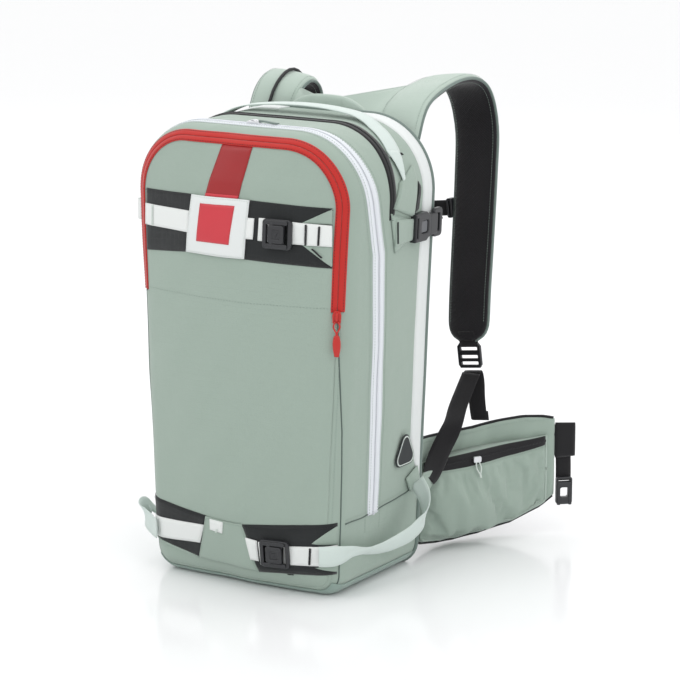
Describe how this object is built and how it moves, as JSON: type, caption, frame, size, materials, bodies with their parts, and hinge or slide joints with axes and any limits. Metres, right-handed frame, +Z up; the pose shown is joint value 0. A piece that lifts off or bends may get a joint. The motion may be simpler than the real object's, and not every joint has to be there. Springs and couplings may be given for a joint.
{
  "type": "avalanche airbag backpack",
  "caption": "Upright ski backpack with a hinged zipped front flap, carrying bands, padded shoulder straps, hip belt and a gas-fired airbag system inside.",
  "frame": {"origin": "centre of the base face, on the surface that the pack stands on", "axes": "+Z up, -Y the outward front with the flap, +Y the wearer's side, +X to the right as seen from the front"},
  "size_m": [0.4596, 0.4448, 0.5809],
  "materials": {
    "sage_fabric": "woven ripstop nylon",
    "pale_web": "flat woven webbing and zip tape",
    "black_fabric": "matt woven nylon",
    "black_web": "flat woven webbing",
    "red_zip": "coil zip and tape",
    "gloss_red": "coated gloss panel",
    "black_plastic": "moulded acetal",
    "red_plastic": "moulded nylon",
    "zip_metal": "die-cast slider",
    "cartridge_steel": "lacquered",
    "valve_alu": "anodised",
    "stay_alu": "extruded",
    "sheet_plastic": "sheet",
    "foam_mesh": "spacer mesh over foam",
    "airbag_nylon": "thin coated nylon, folded",
    "hose_rubber": "smooth"
  },
  "bodies": {
    "pack": {"base_panel": "sage_fabric", "left_side_panel": "sage_fabric", "right_side_panel": "sage_fabric", "top_panel": "sage_fabric", "front_panel": "sage_fabric", "pocket_divider": "black_fabric", "rear_panel": "foam_mesh", "back_piping": "pale_web", "back_pads": "foam_mesh", "frame_sheet": "sheet_plastic", "frame_stays": "stay_alu", "airbag_bundle": "airbag_nylon", "burst_zip": "black_fabric", "valve_block": "valve_alu", "air_inlet": "black_plastic", "gas_hose": "hose_rubber", "trigger_cable_pack": "hose_rubber", "main_zip": "pale_web", "flap_zip_outer": "red_zip", "lower_band": "black_fabric", "lower_straps": "pale_web", "lower_hook_frame": "black_plastic", "side_tabs": "sage_fabric", "side_sockets": "black_plastic", "top_webbing": "pale_web", "yoke": "sage_fabric", "anchor_webbing": "black_web"},
    "cartridge": {"gas_cartridge": "cartridge_steel"},
    "lever": {"valve_lever": "red_plastic"},
    "flap": {"front_flap": "sage_fabric", "flap_zip_inner": "red_zip", "centre_stripe": "gloss_red", "upper_band": "black_fabric", "upper_straps": "pale_web", "upper_hook_frame": "black_plastic"},
    "upper_hook": {"upper_hook": "black_plastic"},
    "lower_hook": {"lower_hook": "black_plastic"},
    "flap_slider": {"flap_zip_slider": "zip_metal"},
    "flap_pull": {"flap_zip_pull": "red_plastic"},
    "main_slider": {"main_zip_slider": "zip_metal"},
    "right_plug": {"right_side_plug": "black_plastic"},
    "left_plug": {"left_side_plug": "black_plastic"},
    "right_strap": {"right_strap_shell": "sage_fabric", "right_strap_lining": "foam_mesh"},
    "left_strap": {"left_strap_shell": "sage_fabric", "left_strap_lining": "foam_mesh", "trigger_cable_strap": "hose_rubber"},
    "right_lock": {"right_ladder_lock": "black_plastic"},
    "left_lock": {"left_ladder_lock": "black_plastic"},
    "right_sternum": {"right_sternum_strap": "black_web"},
    "left_sternum": {"left_sternum_strap": "black_web"},
    "trigger": {"trigger_handle": "red_plastic"},
    "right_wing": {"right_belt_wing": "sage_fabric", "right_belt_pocket": "sage_fabric"},
    "left_wing": {"left_belt_wing": "sage_fabric", "left_gear_loop": "black_web"},
    "pocket_slider": {"pocket_zip_slider": "black_plastic"},
    "right_end": {"right_belt_end": "black_web"},
    "left_end": {"left_belt_end": "black_web"}
  },
  "joints": [
    {"name": "flap_hinge", "type": "hinge", "parent": "pack", "child": "flap", "pos_m": [0, -0.122, 0.345], "axis": [1, 0, 0], "range_deg": [0, 100]},
    {"name": "upper_hook_lift", "type": "slide", "parent": "flap", "child": "upper_hook", "axis": [0.1766, -0.9843, 0], "range_m": [0, 0.018]},
    {"name": "lower_hook_lift", "type": "slide", "parent": "pack", "child": "lower_hook", "axis": [0.1195, -0.9928, 0], "range_m": [0, 0.018]},
    {"name": "flap_slider_run", "type": "slide", "parent": "pack", "child": "flap_slider", "axis": [0.0443, 0, 0.999], "range_m": [0, 0.09]},
    {"name": "flap_pull_swing", "type": "hinge", "parent": "flap_slider", "child": "flap_pull", "pos_m": [0.131, -0.10381, 0.3287], "axis": [0.9418, 0.3363, 0], "range_deg": [-80, 0]},
    {"name": "main_slider_run", "type": "slide", "parent": "pack", "child": "main_slider", "axis": [1, 0, 0], "range_m": [-0.05, 0.03]},
    {"name": "right_plug_slide", "type": "slide", "parent": "pack", "child": "right_plug", "axis": [0, 1, 0], "range_m": [0, 0.03]},
    {"name": "left_plug_slide", "type": "slide", "parent": "pack", "child": "left_plug", "axis": [0, 1, 0], "range_m": [0, 0.03]},
    {"name": "right_strap_swing", "type": "hinge", "parent": "pack", "child": "right_strap", "pos_m": [0.091, 0.102, 0.508], "axis": [1, 0, 0], "range_deg": [-8, 20]},
    {"name": "left_strap_swing", "type": "hinge", "parent": "pack", "child": "left_strap", "pos_m": [-0.091, 0.102, 0.508], "axis": [1, 0, 0], "range_deg": [-6, 10]},
    {"name": "right_lock_tilt", "type": "hinge", "parent": "right_strap", "child": "right_lock", "pos_m": [0.12338, 0.222, 0.24428], "axis": [1, 0, 0], "range_deg": [-25, 25]},
    {"name": "left_lock_tilt", "type": "hinge", "parent": "left_strap", "child": "left_lock", "pos_m": [-0.12338, 0.168, 0.24428], "axis": [1, 0, 0], "range_deg": [-25, 25]},
    {"name": "right_sternum_slide", "type": "slide", "parent": "right_strap", "child": "right_sternum", "axis": [-0.1167, 0.2894, 0.9501], "range_m": [-0.03, 0.03]},
    {"name": "left_sternum_slide", "type": "slide", "parent": "left_strap", "child": "left_sternum", "axis": [0.1217, 0.0444, 0.9916], "range_m": [-0.03, 0.03]},
    {"name": "trigger_pull", "type": "slide", "parent": "left_strap", "child": "trigger", "axis": [-0.1217, -0.0444, -0.9916], "range_m": [0, 0.03], "stiffness_N_per_m": 150, "deforming": ["trigger_cable_pack"]},
    {"name": "valve_lever_turn", "type": "hinge", "parent": "pack", "child": "lever", "pos_m": [-0.076, 0.017, 0.254], "axis": [0, 1, 0], "range_deg": [0, 50]},
    {"name": "cartridge_screw", "type": "hinge", "parent": "pack", "child": "cartridge", "pos_m": [-0.076, 0.036, 0.1], "axis": [0, 0, 1], "continuous": true},
    {"name": "right_wing_swing", "type": "hinge", "parent": "pack", "child": "right_wing", "pos_m": [0.104, 0.0946, 0.09], "axis": [0, 0, 1], "range_deg": [-2, 25]},
    {"name": "left_wing_swing", "type": "hinge", "parent": "pack", "child": "left_wing", "pos_m": [-0.104, 0.0946, 0.09], "axis": [0, 0, 1], "range_deg": [-25, 2]},
    {"name": "pocket_slider_run", "type": "slide", "parent": "right_wing", "child": "pocket_slider", "axis": [0.5345, 0.8451, 0], "range_m": [-0.008, 0.008]},
    {"name": "right_end_swing", "type": "hinge", "parent": "right_wing", "child": "right_end", "pos_m": [0.208, 0.2906, 0.119], "axis": [0, 0, 1], "range_deg": [-20, 20]},
    {"name": "left_end_swing", "type": "hinge", "parent": "left_wing", "child": "left_end", "pos_m": [-0.208, 0.2906, 0.119], "axis": [0, 0, 1], "range_deg": [-20, 20]}
  ],
  "couplings": [
    {"joint": "valve_lever_turn", "follows": "trigger_pull", "rad_per_m": 26.18}
  ]
}
